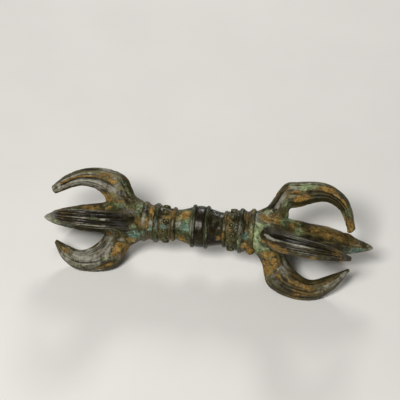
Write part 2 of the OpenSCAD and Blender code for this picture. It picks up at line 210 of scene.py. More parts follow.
class Form:
    """A closed mesh from rings of points, with places u along it and degrees v round it.

    A collar's last ring is joined to its first. Any other form is closed at both ends.
    """

    def __init__(self, name, end, rings, u, v, collar=False):
        count, around = rings.shape[:2]
        i, j = np.meshgrid(np.arange(count if collar else count - 1), np.arange(around), indexing="ij")
        here, beyond = i * around, (i + 1) % count * around
        beside = (j + 1) % around
        quads = np.stack([here + j, here + beside, beyond + beside, beyond + j], -1)
        self.name = name
        self.end = end
        self.collar = collar
        self.points = rings.reshape(-1, 3)
        self.faces = [tuple(q) for q in quads.reshape(-1, 4).tolist()]
        self.u = np.repeat(u, around)
        self.v = np.tile(v, count)
        if not collar:
            self.close(0, around, reverse=True)
            self.close(count - 1, around, reverse=False)
        self.ready()
        if self.volume() < 0:
            self.flip()

    def close(self, ring, around, reverse):
        """Closes one end with a fan about the middle of its ring."""
        first = ring * around
        middle = len(self.points)
        self.points = np.vstack([self.points, self.points[first:first + around].mean(0)])
        self.u = np.append(self.u, self.u[first])
        self.v = np.append(self.v, 0)
        for j in range(around):
            a, b = first + j, first + (j + 1) % around
            self.faces.append((b, a, middle) if reverse else (a, b, middle))

    def ready(self):
        """Sets up what depends on the faces: triangles, edges and empty patina."""
        self.triangles = np.array([
            (face[0], face[i], face[i + 1]) for face in self.faces for i in range(1, len(face) - 1)
        ])
        pairs = np.vstack([self.triangles[:, [0, 1]], self.triangles[:, [1, 2]]])
        self.edges = np.unique(np.sort(pairs, axis=1), axis=0)
        self.patina = {kind: np.zeros(len(self.points)) for kind in KINDS}

    def volume(self):
        corners = self.points[self.triangles]
        return (corners[:, 0] * np.cross(corners[:, 1], corners[:, 2])).sum() / 6

    def flip(self):
        """Turns every face over."""
        self.faces = [face[::-1] for face in self.faces]
        self.triangles = self.triangles[:, ::-1]

    def normals(self):
        corners = self.points[self.triangles]
        across = np.cross(corners[:, 1] - corners[:, 0], corners[:, 2] - corners[:, 0])
        total = np.zeros_like(self.points)
        for k in range(3):
            np.add.at(total, self.triangles[:, k], across)
        return total / np.maximum(np.linalg.norm(total, axis=1, keepdims=True), LEAST_LENGTH)

    def push(self, amount):
        """Moves every point along its normal by that many mm."""
        self.points = self.points + self.normals() * amount[:, None]

    def curvature(self):
        """How sharply the surface bends, in 1/mm: above 0 on ridges, below 0 in hollows."""
        normals = self.normals()
        a, b = self.edges.T
        step = self.points[b] - self.points[a]
        square = np.maximum((step ** 2).sum(1), LEAST_SQUARE)
        total = np.zeros(len(self.points))
        count = np.zeros(len(self.points))
        np.add.at(total, a, -(normals[a] * step).sum(1) / square)
        np.add.at(total, b, (normals[b] * step).sum(1) / square)
        np.add.at(count, a, 1)
        np.add.at(count, b, 1)
        return 2 * total / count

    def add(self, kind, amount):
        """Lays on patina where there is less of that kind so far."""
        self.patina[kind] = np.maximum(self.patina[kind], np.clip(amount, 0, 1))

    def mirror(self):
        """Swaps left and right."""
        self.points = self.points * (-1, 1, 1)
        self.flip()


def merge(forms):
    """Several closed meshes of one name as one form."""
    whole = forms[0]
    for form in forms[1:]:
        start = len(whole.points)
        whole.points = np.vstack([whole.points, form.points])
        whole.faces += [tuple(i + start for i in face) for face in form.faces]
        whole.u = np.append(whole.u, form.u)
        whole.v = np.append(whole.v, form.v)
    whole.ready()
    return whole


def roll(points, degrees):
    """Turns points about X, from straight up towards the front."""
    c, s = cos(radians(degrees)), sin(radians(degrees))
    x, y, z = points[..., 0], points[..., 1], points[..., 2]
    return np.stack([x, y * c - z * s, y * s + z * c], -1)


def turn_apart(a, b):
    """The angle between two directions in degrees, from 0 to 180."""
    return np.abs((a - b + 180) % 360 - 180)


def turns(count):
    """Even directions round a ring, in degrees and in radians."""
    v = np.linspace(-180, 180, count, endpoint=False)
    return v, np.radians(v)


def arc(start, stop, count):
    """Even steps from one angle in degrees to another, in radians."""
    return np.radians(np.linspace(start, stop, count))


def shares(count):
    """Even steps from 0 to 1."""
    return np.linspace(0, 1, count)


def span(node):
    """Where a node lies along its own end, from inside out, and its radius, in mm."""
    low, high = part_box(node)
    near, far = sorted((abs(low.x), abs(high.x)))
    return near / MM, far / MM, high.z / MM


# Claws and prongs

CLAW_RINGS = 180
CLAW_AROUND = 114
# The round nose of a claw: rings, the degrees that they cover, and where along the claw its way is taken
NOSE_RINGS = 6
NOSE_TURN = 84
NOSE_AIM = 0.98
# Flats round a claw, how far they are taken down, and the stretch of the claw over which they fade in
FLATS = 6
FLAT_SHARE = 0.8
FLAT_START = (0.2, 0.45)
# Stretches over which a groove fades in and out, its wander in degrees, and the wander's waves
GROOVE_FADE_IN = 0.12
GROOVE_FADE_OUT = 0.1
GROOVE_WANDER = 5
GROOVE_WAVES = 9
# A prong's rings crowd towards its tip, by the sine of a turn in degrees that stops just short of it
PRONG_RINGS = 90
PRONG_AROUND = 112
PRONG_TIP_TURN = 88.5
# How far the prong runs back into the hub, as a share of its length
PRONG_SINK = 0.12
PRONG_SINK_RINGS = 10


def along(points, t):
    """A smooth curve through rows of numbers, with t from 0 at the first to 1 at the last."""
    ends = np.vstack([2 * points[0] - points[1], points, 2 * points[-1] - points[-2]])
    last = len(points) - 1
    i = np.minimum((t * last).astype(int), last - 1)
    u = (t * last - i)[:, None]
    p0, p1, p2, p3 = (ends[i + k] for k in range(4))
    bend = (2 * p0 - 5 * p1 + 4 * p2 - p3) * u ** 2 + (3 * p1 - p0 - 3 * p2 + p3) * u ** 3
    return 0.5 * (2 * p1 + (p2 - p0) * u + bend)


def polygon(angle):
    """How far a regular polygon's edge is from its middle in each direction, with corners 1 away."""
    half = pi / FLATS
    return cos(half) / np.cos(angle % (2 * half) - half)


def claw_form(name):
    """A claw from its side view, round at the root and flat-sided further out."""
    end, claw_roll, sway, side_view, grooves = CLAWS[name]
    hub_start, hub_end, _ = span(f"hub_{SIDES[end]}")
    root_height = HUB_SMALL_R[end] - ROOT_DEPTH
    root = [hub_start + ROOT_SET, root_height, hub_end - ROOT_INSET, root_height]
    rows = np.vstack([root, np.array(side_view) + (hub_end, 0, hub_end, 0)])
    nose = arc(0, NOSE_TURN, NOSE_RINGS + 1)[1:]
    t = np.append(shares(CLAW_RINGS), np.ones(NOSE_RINGS))
    size = np.append(np.ones(CLAW_RINGS), np.cos(nose))
    ahead = np.append(np.zeros(CLAW_RINGS), NOSE_LEN * np.sin(nose))
    row = along(rows, t)
    outer, inner = row[:, :2], row[:, 2:]
    step = np.diff(along(rows, np.array([NOSE_AIM, 1])), axis=0)[0]
    way = step[:2] + step[2:]
    way /= np.linalg.norm(way)
    across = outer - inner
    depth = np.linalg.norm(across, axis=1)
    across /= depth[:, None]
    centre = (outer + inner) / 2 + ahead[:, None] * way
    v, angle = turns(CLAW_AROUND)
    section = 1 - FLAT_SHARE * smooth(*FLAT_START, t)[:, None] * (1 - polygon(angle))
    out = (size * depth / 2)[:, None] * np.cos(angle) * section
    side = size[:, None] * along(WIDTH_SHARE, t) * CLAW_W[end] / 2 * np.sin(angle) * section
    rings = np.stack([
        centre[:, :1] + across[:, :1] * out,
        (sway * t * t)[:, None] + side,
        centre[:, 1:] + across[:, 1:] * out,
    ], -1)
    form = Form(name, end, roll(rings, claw_roll), t, v)
    cut_grooves(form, grooves)
    return form


def cut_grooves(form, grooves):
    """Grooves cut by hand along a claw, which wander a little."""
    for angle, half, depth, start, stop in grooves:
        fade_in = smooth(start, start + GROOVE_FADE_IN, form.u)
        fade_out = 1 - smooth(stop - GROOVE_FADE_OUT, stop, form.u)
        places = np.stack([form.u * GROOVE_WAVES, 0 * form.u, 0 * form.u], -1)
        wander = GROOVE_WANDER * (noise(places, 1, abs(angle)) - 0.5)
        cut = fade_in * fade_out * np.exp(-(turn_apart(form.v, angle + wander) / half) ** 2)
        form.push(-depth * cut)
        form.add("groove", cut)


def prong_form(end):
    """A spear with four soft edges, between an ellipse and a parabola, which drifts off the axis."""
    name = f"centre_prong_{SIDES[end]}"
    hub_end = span(f"hub_{SIDES[end]}")[1]
    tip = span(name)[1]
    sunk = -PRONG_SINK * shares(PRONG_SINK_RINGS)[:0:-1]
    free = np.sin(arc(0, PRONG_TIP_TURN, PRONG_RINGS))
    q = np.append(sunk, free)
    v, angle = turns(PRONG_AROUND)
    past = np.maximum(q, 0)
    r = (PRONG_R[end] * (np.sqrt(1 - past ** 2) + 1 - past ** 2) / 2)[:, None]
    power = 2 / PRONG_POWER
    y = r * np.sign(np.sin(angle)) * np.abs(np.sin(angle)) ** power
    z = r * np.sign(np.cos(angle)) * np.abs(np.cos(angle)) ** power + (q * PRONG_DRIFT[end])[:, None]
    x = np.broadcast_to((hub_end + q * (tip - hub_end))[:, None], y.shape)
    return Form(name, end, roll(np.stack([x, y, z], -1), PRONG_TURN), q, v)


# Grip

GRIP_AROUND = 150
BOSS_COUNT = (10, 12)
# Points along the outlines of the collars
RING_POINTS = 19
BELT_POINTS = 17
WAIST_POINTS = 25
BAND_POINTS = 17
NECK_POINTS = 13
HUB_POINTS = 48
# How far the belt's edges drop, in mm, and the power of the curve
BELT_DROP = 0.35
BELT_POWER = 5
# The round outer end of a hub: radius in mm, and its arc, as start and stop in degrees and count of points
HUB_ROUND = 3
HUB_ARC = (8, 90, 12)
# A boss: depths of its foot and its wall's top under the band's surface, in mm, and arcs of rim and pearl
BOSS_AROUND = 36
BOSS_FOOT = 0.9
BOSS_WALL = 0.2
RIM_ARC = (0, 205, 12)
PEARL_ARC = (5, 86, 7)
# How unlike the bosses are: their order, drift along the band in mm, and shares of width and rise
BOSS_VARIETY = 2.1
BOSS_DRIFT = 0.5
BOSS_SQUEEZE = 0.15
BOSS_WEAR = 0.4


def revolve(name, end, outline):
    """A collar from its outline, as (place along X, radius) from inside out, with a bore for the rod."""
    outline = np.array([(outline[0][0], BORE_R), *outline, (outline[-1][0], BORE_R)])
    v, angle = turns(GRIP_AROUND)
    x = np.broadcast_to(outline[:, :1], (len(outline), GRIP_AROUND))
    y = -outline[:, 1:] * np.sin(angle)
    z = outline[:, 1:] * np.cos(angle)
    return Form(name, end, np.stack([x, y, z], -1), outline[:, 0], v, collar=True)


def ring_outline(start, stop, r):
    """A ring with a half-round edge."""
    half = (stop - start) / 2
    turn = arc(0, 180, RING_POINTS)
    return [(start + half - half * cos(a), r - half + half * sin(a)) for a in turn]


def belt_outline(start, stop, r):
    """A drum with softened edges."""
    run = stop - start
    return [(start + run * s, r - BELT_DROP * abs(2 * s - 1) ** BELT_POWER) for s in shares(BELT_POINTS)]


def waist_outline(start, stop, big, small):
    """A trumpet that widens towards the belt."""
    run = stop - start
    return [(start + run * s, small + (big - small) * (1 - s) ** WAIST_CURVE) for s in shares(WAIST_POINTS)]


def cone_outline(start, stop, first, last, count):
    """A cone from the first radius to the last."""
    return [(start + (stop - start) * s, first + (last - first) * s) for s in shares(count)]


def neck_outline(start, stop, r, hollow):
    """A drum with a hollow round it."""
    return [(start + (stop - start) * s, r - hollow * (1 - (2 * s - 1) ** 2)) for s in shares(NECK_POINTS)]


def boss_form(end):
    """Eye-shaped bosses round the band: rounded rims about pearls, some worn lower than others."""
    start, stop, _ = span(f"band_{SIDES[end]}")
    floor = (BAND_SMALL_R[end] + BAND_BIG_R[end]) / 2
    rim = BOSS_RIM[end] / 2
    flat = floor + BOSS_RISE[end] - rim
    wide, pearl = BOSS_R[end], PEARL_R[end]
    outline = [(wide, floor - BOSS_FOOT), (wide, floor - BOSS_WALL)]
    outline += [(wide - rim + rim * cos(a), flat + rim * sin(a)) for a in arc(*RIM_ARC)]
    outline += [(pearl * cos(a), flat + pearl * sin(a)) for a in arc(*PEARL_ARC)]
    outline = np.array(outline)
    v, angle = turns(BOSS_AROUND)
    forms = []
    for i in range(BOSS_COUNT[end]):
        worn = 0.5 + 0.5 * sin(BOSS_VARIETY * i * (i + 1))
        x = (start + stop) / 2 + BOSS_DRIFT * (worn - 0.5) + outline[:, :1] * np.cos(angle)
        y = outline[:, :1] * (1 - BOSS_SQUEEZE * worn) * np.sin(angle)
        z = np.broadcast_to(floor + (outline[:, 1:] - floor) * (1 - BOSS_WEAR * worn), x.shape)
        rings = roll(np.stack([x, y, z], -1), i * 360 / BOSS_COUNT[end])
        forms.append(Form(f"bosses_{SIDES[end]}", end, rings, outline[:, 1], v))
    return merge(forms)


def grip_forms(end):
    """What one end has from the belt out to the hub."""
    side = SIDES[end]

    def collar(kind, outline, *sizes):
        """A collar from the place and radius of its node, and some sizes of its own."""
        name = f"{kind}_{side}"
        return revolve(name, end, outline(*span(name), *sizes))

    start, stop, _ = span(f"band_{side}")
    band = cone_outline(start, stop, BAND_SMALL_R[end], BAND_BIG_R[end], BAND_POINTS)
    return [
        collar("belt_ring", ring_outline),
        collar("waist", waist_outline, WAIST_R[end]),
        collar("edge_ring", ring_outline),
        revolve(f"band_{side}", end, band),
        boss_form(end),
        collar("inner_ring", ring_outline),
        collar("neck", neck_outline, NECK_HOLLOW[end]),
        collar("outer_ring", ring_outline),
    ]


def hub_form(end):
    """A cone with a rounded outer end."""
    name = f"hub_{SIDES[end]}"
    start, stop, big = span(name)
    small = HUB_SMALL_R[end]
    shoulder = stop - HUB_ROUND
    outline = cone_outline(start, shoulder, big, small, HUB_POINTS)
    outline += [(shoulder + HUB_ROUND * sin(a), small - HUB_ROUND * (1 - cos(a))) for a in arc(*HUB_ARC)]
    return revolve(name, end, outline)


# Cast metal

# Fillets: reach and swelling in mm, how far that leans to the neighbour's normal, and its least length
FILLET = 3.6
FILLET_SWELL = FILLET / 4
FILLET_LEAN = 0.5
LEAST_LEAN = 0.5
# Noises: size of the lumps in mm, or for streaks in streaks, then seed and octaves
SWELLS = (6, 3, 1)
GRIT = (1.8, 4, 2)
PITS = (1.3, 8, 1)
PITTED_AREAS = (7, 9, 1)
DENTS = (3, 12, 1)
STREAKS = (1, 61, 2)
ROOT_EDGE = (5, 65, 3)
STAIN_EDGE = (2.2, 71, 3)
STAIN_GRAIN = (1.7, 75, 3)
CLOD_GRAIN = (1.4, 77, 2)
SOIL_GRAIN = (1.3, 81, 3)
GREEN_GRAIN = (0.9, 91, 1)
PATCHES = {"green": (8, 21, 4), "soil": (7, 31, 4), "pale": (11, 41, 4), "dark": (9, 51, 4)}
# Height of the lumps and depth of the dents, in mm, and the grit's height as a share of the lumps'
CLAW_CAST = (0.3, 0.12)
GRIP_CAST = (0.45, 0.35)
GRIT_SHARE = 0.4
# Depth of the pits in mm, the grime in them, and the values of noise over which pits and dents set in
PIT_DEPTH = 0.25
PIT_GRIME = 0.7
PIT_STEP = (0.72, 0.9)
PITTED_STEP = (0.5, 0.7)
DENT_STEP = (0.62, 0.85)
# Noise above which patches lie, how far a full share lowers it, and the half width of their soft edge
PATCH_EDGE = 0.78
PATCH_REACH = 0.5
PATCH_SOFT = 0.2
# Stretch of a claw or prong, as shares of its length, where the hub's weathering ends, and its raggedness
ROOT_BLEND = (0.08, 0.34)
ROOT_RAGGED = 0.3
# Streaks to each unit along a piece, and the degrees round it that each takes up
STREAKS_ALONG = 6
STREAK_TURN = 9
# A listed patch: raggedness, least amount, what the grain adds, the reach where it fades, and what it hides
STAIN_RAGGED = 1.2
STAIN_LEAST = 0.35
STAIN_GRAINY = 1.1
STAIN_FADE = (0.4, 1.4)
PATCH_HIDES = 0.65
# Power of a clod's profile, its least height and what the grain adds
CLOD_POWER = 0.7
CLOD_LEAST = 0.7
CLOD_GRAINY = 0.6
# Height of the crusts in mm
SOIL_HEIGHT = 0.26
GREEN_HEIGHT = 0.15
# Bends in 1/mm over which grime and wear set in, and the most of each
GRIME_BEND = (0.12, 0.7)
GRIME_MOST = 0.8
WEAR_BEND = (0.35, 1.4)
WEAR_MOST = 0.7


def melt_together(forms):
    """Swells each form where it meets another, into the soft fillets of one casting."""
    trees = [BVHTree.FromPolygons(form.points.tolist(), form.faces) for form in forms]
    shifts = []
    for form in forms:
        points = form.points
        normals = form.normals()
        shift = np.zeros_like(points)
        nearest = np.zeros(len(points))
        for other, tree in zip(forms, trees):
            if other is form:
                continue
            low, high = other.points.min(0) - FILLET, other.points.max(0) + FILLET
            for i in np.flatnonzero(((points > low) & (points < high)).all(1)):
                spot, normal, _, gap = tree.find_nearest(points[i], FILLET)
                if spot is None:
                    continue
                near = 1 - gap / FILLET
                if near > nearest[i]:
                    nearest[i] = near
                    lean = normals[i] + FILLET_LEAN * near * (np.array(normal) - normals[i])
                    length = max(np.linalg.norm(lean), LEAST_LEAN)
                    shift[i] = lean / length * FILLET_SWELL * near ** 2 / length
        shifts.append(shift)
    for form, shift in zip(forms, shifts):
        form.points = form.points + shift


def cast(form, lumps, dents):
    """Uneven cast metal with a few pits and the dents of use. A collar keeps its flat ends."""
    points = form.points
    rough = lumps * (noise(points, *SWELLS) - 0.5) + GRIT_SHARE * lumps * (noise(points, *GRIT) - 0.5)
    pits = smooth(*PIT_STEP, noise(points, *PITS)) * smooth(*PITTED_STEP, noise(points, *PITTED_AREAS))
    dented = smooth(*DENT_STEP, noise(points, *DENTS))
    form.push(rough - PIT_DEPTH * pits - dents * dented)
    if form.collar:
        form.points[:, 0] = points[:, 0]
    form.add("groove", PIT_GRIME * pits)


def patches(points, kind, amount):
    """Soft-edged patches over about that share of the surface, the same on any form at the same place."""
    if not amount:
        return np.zeros(len(points))
    edge = PATCH_EDGE - PATCH_REACH * amount
    return smooth(edge - PATCH_SOFT, edge + PATCH_SOFT, noise(points, *PATCHES[kind]))


def weather(form):
    """Patches of each kind of patina. Near its root, what grows out of a hub weathers as the hub does."""
    near_hub = 0 * form.u
    if form.name.startswith(("claw", "centre")):
        ragged = ROOT_RAGGED * (noise(form.points, *ROOT_EDGE) - 0.5)
        near_hub = 1 - smooth(*ROOT_BLEND, form.u + ragged)
    for kind, own, hub in zip(PATCHES, cover_of(form.name), cover_of(f"hub_{SIDES[form.end]}")):
        here = patches(form.points, kind, own) * (1 - near_hub)
        form.add(kind, here + patches(form.points, kind, hub) * near_hub)
    places = np.stack([form.u * STREAKS_ALONG, form.v / STREAK_TURN, 0 * form.u], -1)
    form.add("streak", noise(places, *STREAKS))


def reach(form, u, v, du, dv):
    """How far each point is from a place, where 1 is at its half sizes along and round the form."""
    return np.hypot((form.u - u) / du, turn_apart(form.v, v) / dv)


def stain(form, kind, u, v, du, dv, strength):
    """One listed patch."""
    ragged = STAIN_RAGGED * (noise(form.points, *STAIN_EDGE) - 0.5)
    grainy = STAIN_LEAST + STAIN_GRAINY * noise(form.points, *STAIN_GRAIN)
    inside = 1 - smooth(*STAIN_FADE, reach(form, u, v, du, dv) + ragged)
    amount = np.clip(strength * grainy * inside, 0, 1)
    if kind in COVERS:
        for other in COVERS:
            form.patina[other] *= 1 - PATCH_HIDES * amount
    form.add(kind, amount)


def lump(form, u, v, du, dv, height):
    """A clod of soil on the surface, or a dent where the height is below 0."""
    grainy = CLOD_LEAST + CLOD_GRAINY * noise(form.points, *CLOD_GRAIN)
    form.push(height * np.clip(1 - reach(form, u, v, du, dv) ** 2, 0, 1) ** CLOD_POWER * grainy)


def age(form):
    """Grime in hollows and bare metal on ridges."""
    bend = form.curvature()
    form.add("groove", GRIME_MOST * smooth(*GRIME_BEND, -bend))
    form.add("wear", WEAR_MOST * smooth(*WEAR_BEND, bend))


def crust(form):
    """Soil and verdigris stand proud of the metal."""
    soil = SOIL_HEIGHT * form.patina["soil"] * noise(form.points, *SOIL_GRAIN)
    green = GREEN_HEIGHT * form.patina["green"] * noise(form.points, *GREEN_GRAIN)
    form.push(soil + green)


# Materials

# Where the first colour of a ramp lies, and how far on the last: noise seldom goes further
RAMP_START = 0.28
RAMP_REACH = 0.44
# Noises of the patina: size in mm, detail, roughness and distortion
MOTTLE = (4, 5, 0.6, 0.6)
GRAIN = (0.7, 6, 0.65)
SPECK = (0.28, 3)
TINT = (2.2, 4, 0.6, 0.4)
# Shares of streaks and mottle in the colour of the metal, and what the grain does to its roughness
STREAK_SHARE = 0.45
MOTTLE_SHARE = 0.55
ROUGH_GRAIN = 0.3
# What breaks up the edges of the coats: shares of grain and specks, and what these start from
EDGE_GRAIN = 0.9
EDGE_SPECK = 0.3
EDGE_START = -0.6
# Coats over the metal, from the lowest up: kind, colours from dark to light, roughness, the most that it
# hides, the amount of patina at which it does, raggedness, and what makes it lighter: source, factor, offset
COATS = (
    # Besides pale minerals, the pale coat paints highlights along the ridges of the front claws.
    ("pale", ("#5a5547", "#827d6d", "#9b988a", "#a8aa9a"), 0.5, 0.82, 0.95, 0.9, ("streak", 0.6, -0.25)),
    ("green", ("#39442e", "#65734f", "#98a578", "#b9c197"), 0.7, 0.82, 0.95, 0.9, ("pale", 0.35, -0.04)),
    ("teal", ("#2b3b33", "#4f695c", "#759382", "#9db5a0"), 0.7, 0.76, 1.1, 0.75, ("grain", 0.6, -0.28)),
    ("soil", ("#48320f", "#765827", "#9b783c", "#b59655"), 0.9, 0.86, 1.05, 0.65, ("grain", 0.45, -0.21)),
    ("dark", ("#0a0804", "#15110a", "#251c10"), 0.29, 0.86, 0.95, 1.0, ("grain", 0.0, 0.0)),
)
# Amount of patina at which a coat starts to show
COAT_START = 0.25
# Grime, and worn metal whose lighter colour also paints glints at some spots: colour, raggedness, the
# amounts over which they set in, and the most that they hide
GRIME = ("#171007", 0.6, (0.2, 0.9), 0.8)
WEAR_AND_GLINT = ("#908058", 0.7, (0.35, 0.9), 0.5)
WORN_ROUGHNESS = 0.34
WORN_METAL = 0.7
# Grain over which the colour goes from a darker to a lighter shade, both, and how far pale coats lose them
SHADE_GRAIN = (0.25, 0.75)
SHADES = (0.7, 1.2)
SHADE_PALE = 0.6
# Reflection of what covers the metal, below the usual 0.5 because it is earthy
SPECULAR = 0.2
# The bump: strength and height, share of specks on metal and on coats, and what dark metal keeps of it
BUMP = {"Strength": 0.7, "Distance": 0.22 * MM}
BUMP_SPECKS = (0.25, 0.7)
BUMP_DARK = 0.3
# The floor: colours, noise, roughness, mm from the part over which its own glow sets in, and its strength
FLOOR_COLOURS = ("#dbd9d3", "#dfddd7")
FLOOR_NOISE = (60, 3)
FLOOR_ROUGHNESS = 0.9
FLOOR_FADE = (250, 1300)
FLOOR_GLOW = 0.8


def tone(code):
    """A colour as linear light, from its usual six-digit code."""
    srgb = [int(code[i:i + 2], 16) / 255 for i in (1, 3, 5)]
    return [c / 12.92 if c < 0.04045 else ((c + 0.055) / 1.055) ** 2.4 for c in srgb] + [1]


class Nodes:
    """Short ways to add nodes to a material. Inputs go by name or number."""

    def __init__(self, name):
        self.material = bpy.data.materials.new(name)
        self.material.use_nodes = True
        self.tree = self.material.node_tree
        self.shader = self.tree.nodes["Principled BSDF"]
        place = self.add("TexCoord", {}, "Object")
        self.place = self.add("VectorMath", {0: place, "Scale": 1 / MM}, operation="SCALE")

    def fill(self, node, inputs):
        """Gives a node its inputs, each a constant or an output of another node."""
        for key, value in inputs.items():
            if isinstance(value, bpy.types.NodeSocket):
                self.tree.links.new(value, node.inputs[key])
            else:
                node.inputs[key].default_value = value

    def add(self, kind, inputs, output=0, **settings):
        """Adds a shader node and returns one of its outputs."""
        node = self.tree.nodes.new(f"ShaderNode{kind}")
        for key, value in settings.items():
            setattr(node, key, value)
        self.fill(node, inputs)
        return node.outputs[output]

    def noise(self, size, detail, rough=0.55, distortion=0.0):
        inputs = {"Vector": self.place, "Scale": 1 / size, "Detail": detail}
        inputs |= {"Roughness": rough, "Distortion": distortion}
        return self.add("TexNoise", inputs, "Fac")

    def field(self, kind):
        """The amount of a kind of patina."""
        return self.add("Attribute", {}, "Fac", attribute_name=kind)

    def ray(self, kind):
        """Whether what meets the surface is a ray of that kind."""
        return self.add("LightPath", {}, f"Is {kind} Ray")

    def math(self, operation, *values):
        return self.add("Math", dict(enumerate(values)), operation=operation)

    def line(self, value, factor, start=0.0):
        """The value times a factor, plus a start."""
        return self.math("MULTIPLY_ADD", value, factor, start)

    def step(self, value, low, high, first, last):
        """A soft step from first to last, as the value goes from low to high."""
        inputs = dict(enumerate((value, low, high, first, last)))
        return self.add("MapRange", inputs, interpolation_type="SMOOTHSTEP")

    def ramp(self, value, *codes):
        """Colours from their codes, evenly spaced over the values that noise usually has."""
        node = self.tree.nodes.new("ShaderNodeValToRGB")
        stops = node.color_ramp.elements
        while len(stops) < len(codes):
            stops.new(0.5)
        for i, code in enumerate(codes):
            stops[i].position = RAMP_START + RAMP_REACH * i / (len(codes) - 1)
            stops[i].color = tone(code)
        self.fill(node, {"Fac": value})
        return node.outputs["Color"]

    def mix(self, share, a, b, blend="MIX"):
        """Two colours mixed. Other sockets have the same names, hence the numbers."""
        return self.add("Mix", {0: share, 6: a, 7: b}, 2, data_type="RGBA", blend_type=blend)

    def blend(self, share, a, b):
        """Two numbers mixed."""
        return self.add("Mix", {0: share, 2: a, 3: b}, data_type="FLOAT")


def lay_coats(nodes, colour, rough, grain, edge):
    """Lays the coats on. Returns the colour, the roughness, each coat's mask and one mask of all crusts."""
    tint = nodes.noise(*TINT)
    sources = {"grain": grain, "streak": nodes.field("streak"), "pale": nodes.field("pale")}
    masks = {}
    crusts = 0.0
    for kind, codes, roughness, cover, full, ragged, (source, factor, offset) in COATS:
        amount = nodes.line(edge, ragged, nodes.field(kind))
        masks[kind] = nodes.step(amount, COAT_START, full, 0.0, cover)
        light = nodes.math("ADD", tint, nodes.line(sources[source], factor, offset))
        colour = nodes.mix(masks[kind], colour, nodes.ramp(light, *codes))
        rough = nodes.blend(masks[kind], rough, roughness)
        if kind != "dark":
            crusts = nodes.math("MAXIMUM", crusts, masks[kind])
    return colour, rough, masks, crusts


def add_mark(nodes, colour, kind, edge, mark):
    """Lays grime, or worn metal that also paints glints, over a colour. Returns the colour and the mask."""
    code, ragged, amounts, most = mark
    mask = nodes.step(nodes.line(edge, ragged, nodes.field(kind)), *amounts, 0.0, most)
    return nodes.mix(mask, colour, tone(code)), mask


def patina(name, base, gloss, metal):
    """Weathered bronze: base is its colours from dark to light, gloss its roughness where it is bare."""
    nodes = Nodes(name)
    grain = nodes.noise(*GRAIN)
    speck = nodes.noise(*SPECK)
    mottle = nodes.noise(*MOTTLE)
    edge = nodes.line(grain, EDGE_GRAIN, nodes.line(speck, EDGE_SPECK, EDGE_START))
    flow = nodes.line(nodes.field("streak"), STREAK_SHARE, nodes.line(mottle, MOTTLE_SHARE))
    rough = nodes.line(grain, ROUGH_GRAIN, gloss - ROUGH_GRAIN / 2)
    colour, rough, masks, crusts = lay_coats(nodes, nodes.ramp(flow, *base), rough, grain, edge)
    colour, _ = add_mark(nodes, colour, "groove", edge, GRIME)
    # Worn metal on ridges, and at some spots a lighter colour that is a painted glint.
    colour, worn = add_mark(nodes, colour, "wear", edge, WEAR_AND_GLINT)
    shade = nodes.step(grain, *SHADE_GRAIN, *SHADES)
    shade = nodes.blend(nodes.line(masks["pale"], SHADE_PALE), shade, 1.0)
    grey = nodes.add("CombineColor", {0: shade, 1: shade, 2: shade})
    bare = nodes.math("SUBTRACT", 1.0, crusts)
    height = nodes.line(speck, nodes.blend(crusts, *BUMP_SPECKS), grain)
    height = nodes.math("MULTIPLY", height, nodes.blend(masks["dark"], 1.0, BUMP_DARK))
    nodes.fill(nodes.shader, {
        "Base Color": nodes.mix(1.0, colour, grey, "MULTIPLY"),
        "Metallic": nodes.math("MULTIPLY", bare, nodes.blend(worn, metal, WORN_METAL)),
        "Roughness": nodes.blend(worn, rough, WORN_ROUGHNESS),
        "Specular IOR Level": SPECULAR,
        "Normal": nodes.add("Bump", BUMP | {"Height": height}),
    })
    return nodes.material


def floor_material():
    """A plain floor, as pale far off, where the lamps don't reach, as it is by the part."""
    nodes = Nodes("pale_floor")
    colour = nodes.ramp(nodes.noise(*FLOOR_NOISE), *FLOOR_COLOURS)
    mirrored = nodes.math("ADD", nodes.ray("Glossy"), nodes.ray("Transmission"))
    seen = nodes.math("ADD", nodes.ray("Camera"), mirrored)
    distance = nodes.add("VectorMath", {0: nodes.place}, "Value", operation="LENGTH")
    glow = nodes.step(distance, *FLOOR_FADE, 0.0, FLOOR_GLOW)
    nodes.fill(nodes.shader, {
        "Base Color": colour,
        "Roughness": FLOOR_ROUGHNESS,
        "Specular IOR Level": 0,
        "Emission Color": colour,
        "Emission Strength": nodes.math("MULTIPLY", seen, glow),
    })
    return nodes.material


# Finishes: colours of the metal from dark to light, its roughness, and how metallic it is
FINISHES = {
    "patinated_bronze": (("#1c180b", "#38321a", "#534b2b", "#6e6541"), 0.4, 0.2),
    "verdigris_bronze": (("#171a0b", "#2e321b", "#484b2b", "#63643f"), 0.42, 0.15),
    "dark_bronze": (("#14110a", "#292514", "#413a22", "#5a5236"), 0.34, 0.25),
    "bare_bronze": (("#4a3b20", "#7a6335", "#9a8048", "#b09a60"), 0.4, 0.8),
}
MATERIALS = {name: patina(name, *finish) for name, finish in FINISHES.items()}


# Where the patina lies

# Share of the surface under each kind of patina: green, soil, pale, dark
COVER = {
    "belt": (0.05, 0.05, 0.0, 0.8),
    "belt_ring": (0.3, 0.1, 0.1, 0.5),
    "waist_left": (0.25, 0.3, 0.15, 0.1),
    "waist_right": (0.15, 0.1, 0.05, 0.75),
    "edge_ring": (0.15, 0.35, 0.1, 0.4),
    "band": (0.2, 0.35, 0.0, 0.55),
    "bosses": (0.2, 0.35, 0.05, 0.45),
    "inner_ring": (0.3, 0.2, 0.2, 0.4),
    "neck": (0.3, 0.4, 0.15, 0.3),
    "outer_ring": (0.35, 0.25, 0.2, 0.3),
    "hub_left": (0.25, 0.25, 0.1, 0.4),
    "hub_right": (0.35, 0.2, 0.35, 0.05),
    "centre_prong_left": (0.35, 0.15, 0.2, 0.25),
    "centre_prong_right": (0.15, 0.2, 0.05, 0.25),
    "claw_left_front": (0.12, 0.05, 0.15, 0.25),
    "claw_right_front": (0.1, 0.25, 0.15, 0.15),
    "claw_left_upper": (0.0, 0.3, 0.4, 0.2),
    "claw_left": (0.12, 0.3, 0.3, 0.2),
    "claw_right": (0.2, 0.4, 0.15, 0.25),
}
